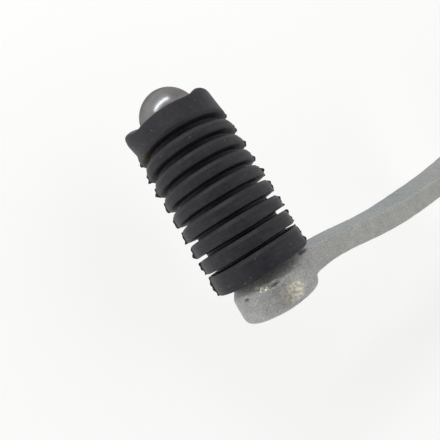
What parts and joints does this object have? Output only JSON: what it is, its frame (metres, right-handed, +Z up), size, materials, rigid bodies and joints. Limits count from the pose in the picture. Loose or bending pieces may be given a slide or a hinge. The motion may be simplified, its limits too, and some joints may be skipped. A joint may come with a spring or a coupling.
{
  "type": "gear shift lever",
  "caption": "Motorcycle gear shift lever with a ribbed rubber toe peg, a greased pivot, and a ball-jointed tie rod to a splined shift arm.",
  "frame": {"origin": "on the lever's pivot axis, on the washer face that seats on the machine's frame", "axes": "+X from the pivot towards the toe peg; -Y outboard, the way the peg points, so +Y goes into the machine; +Z up as the lever lies on a bench"},
  "size_m": [0.326, 0.0972, 0.059],
  "materials": {
    "lever_alloy": "blasted casting",
    "arm_steel": "forged and blasted",
    "peg_steel": "polished",
    "ground_steel": "ground",
    "zinc_steel": "zinc plated",
    "socket_steel": "zinc plated, dulled",
    "bush_bronze": "sintered",
    "peg_rubber": "moulded",
    "seal_rubber": "moulded",
    "seat_nylon": "moulded"
  },
  "bodies": {
    "pivot": {"pivot_bolt": "zinc_steel", "pivot_sleeve": "ground_steel", "pivot_washer_inner": "zinc_steel", "pivot_washer_outer": "zinc_steel"},
    "lever": {"lever_arm": "lever_alloy", "toe_peg": "peg_steel", "peg_rubber": "peg_rubber", "pivot_bush_inner": "bush_bronze", "pivot_bush_outer": "bush_bronze", "dust_seal_inner": "seal_rubber", "dust_seal_outer": "seal_rubber", "front_ball_stud": "ground_steel", "front_stud_washer": "zinc_steel", "front_stud_nut": "zinc_steel"},
    "link": {"tie_rod": "zinc_steel", "front_locknut": "zinc_steel", "rear_locknut": "zinc_steel", "front_ball_socket": "socket_steel", "rear_ball_socket": "socket_steel", "front_ball_seat": "seat_nylon", "rear_ball_seat": "seat_nylon", "front_socket_cap": "zinc_steel", "rear_socket_cap": "zinc_steel", "front_dust_boot": "seal_rubber", "rear_dust_boot": "seal_rubber"},
    "shift_arm": {"shift_arm": "arm_steel", "pinch_bolt": "zinc_steel", "pinch_washer": "zinc_steel", "rear_ball_stud": "ground_steel", "rear_stud_washer": "zinc_steel", "rear_stud_nut": "zinc_steel"}
  },
  "joints": [
    {"name": "lever_pivot", "type": "hinge", "parent": "pivot", "child": "lever", "pos_m": [0, -0.0145, 0], "axis": [0, 1, 0], "range_deg": [-12, 12], "stiffness_Nm_per_rad": 12},
    {"name": "rod_front_joint", "type": "hinge", "parent": "lever", "child": "link", "pos_m": [0, -0.0315, 0.038], "axis": [0, 1, 0], "range_deg": [-12, 12]},
    {"name": "rod_rear_joint", "type": "hinge", "parent": "link", "child": "shift_arm", "pos_m": [-0.15, -0.0315, 0.038], "axis": [0, 1, 0], "range_deg": [-12, 12]}
  ],
  "couplings": [
    {"joint": "rod_front_joint", "follows": "lever_pivot", "ratio": -1},
    {"joint": "rod_rear_joint", "follows": "lever_pivot", "ratio": 1}
  ]
}
